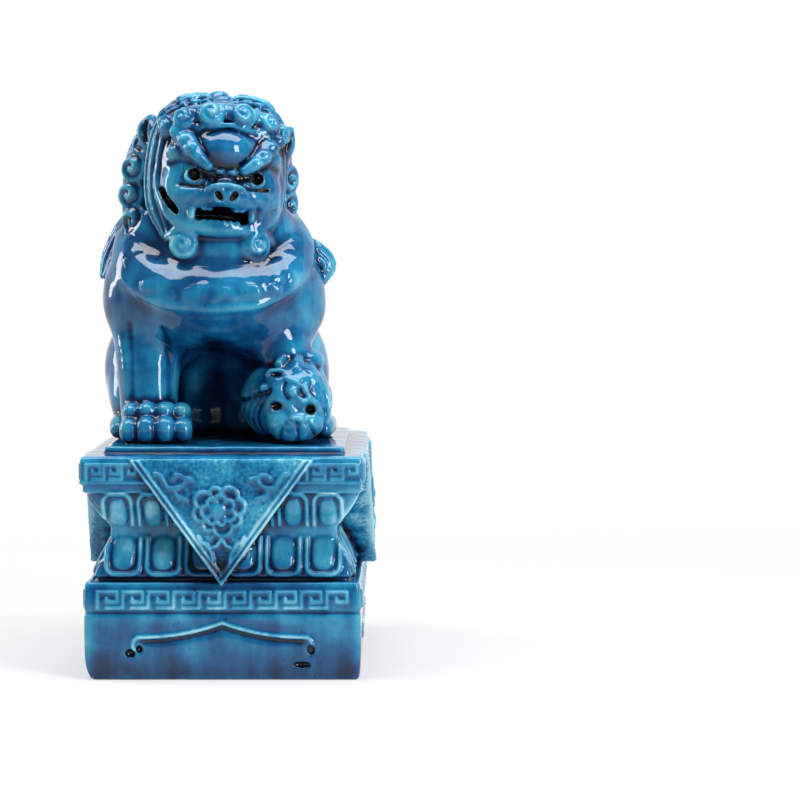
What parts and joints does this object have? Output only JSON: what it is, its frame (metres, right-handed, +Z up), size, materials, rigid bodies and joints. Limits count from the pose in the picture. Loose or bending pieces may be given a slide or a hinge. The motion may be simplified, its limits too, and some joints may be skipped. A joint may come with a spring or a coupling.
{
  "type": "ceramic guardian lion statue",
  "caption": "Seated guardian lion with a cub under its raised left forepaw, on a stepped lotus plinth with hanging cloth corners, for standing on a shelf or hearth as an ornament.",
  "frame": {"origin": "middle of the plinth's underside, on the surface it stands on", "axes": "+Z up, -Y the way the lion faces, +X to the viewer's right, which is the lion's left"},
  "size_m": [0.1248, 0.1438, 0.2546],
  "materials": {
    "glaze": "glossy opaque peacock-blue glaze over fired earthenware",
    "glaze_thin": "the same glaze, run thin and paler on raised ornament",
    "glaze_pooled": "the same glaze, pooled and nearly black"
  },
  "bodies": {
    "root": {"plinth_foot": "glaze", "foot_fret": "glaze_thin", "plinth_waist": "glaze", "lower_lotus_petals": "glaze_thin", "upper_lotus_petals": "glaze_thin", "plinth_cornice": "glaze", "cornice_fret": "glaze_thin", "seat_mat": "glaze", "front_apron": "glaze", "right_apron": "glaze", "left_apron": "glaze", "rear_apron": "glaze", "apron_hems": "glaze_thin", "peony_sprigs": "glaze_thin", "cloud_scroll_sprigs": "glaze_thin", "leaf_stem_sprigs": "glaze_thin", "torso": "glaze", "right_foreleg": "glaze", "right_forepaw": "glaze_thin", "left_foreleg": "glaze", "left_forepaw": "glaze_thin", "cub_body": "glaze", "cub_head": "glaze", "cub_features": "glaze_thin", "right_haunch": "glaze", "left_haunch": "glaze", "right_hind_paw": "glaze_thin", "left_hind_paw": "glaze_thin", "tail": "glaze", "head": "glaze", "lower_jaw": "glaze", "tongue_and_lower_teeth": "glaze_thin", "upper_teeth": "glaze_thin", "nose": "glaze", "forehead_boss": "glaze", "right_brow": "glaze_thin", "left_brow": "glaze_thin", "eyeballs": "glaze_pooled", "right_ear": "glaze", "left_ear": "glaze", "forelock_curls": "glaze_thin", "crown_curls": "glaze_thin", "right_mane": "glaze", "left_mane": "glaze", "nape_mane": "glaze", "beard_tufts": "glaze_thin", "neck_ring": "glaze", "chest_collar": "glaze_thin", "collar_studs": "glaze_thin", "shoulder_tufts": "glaze_thin"}
  },
  "joints": []
}
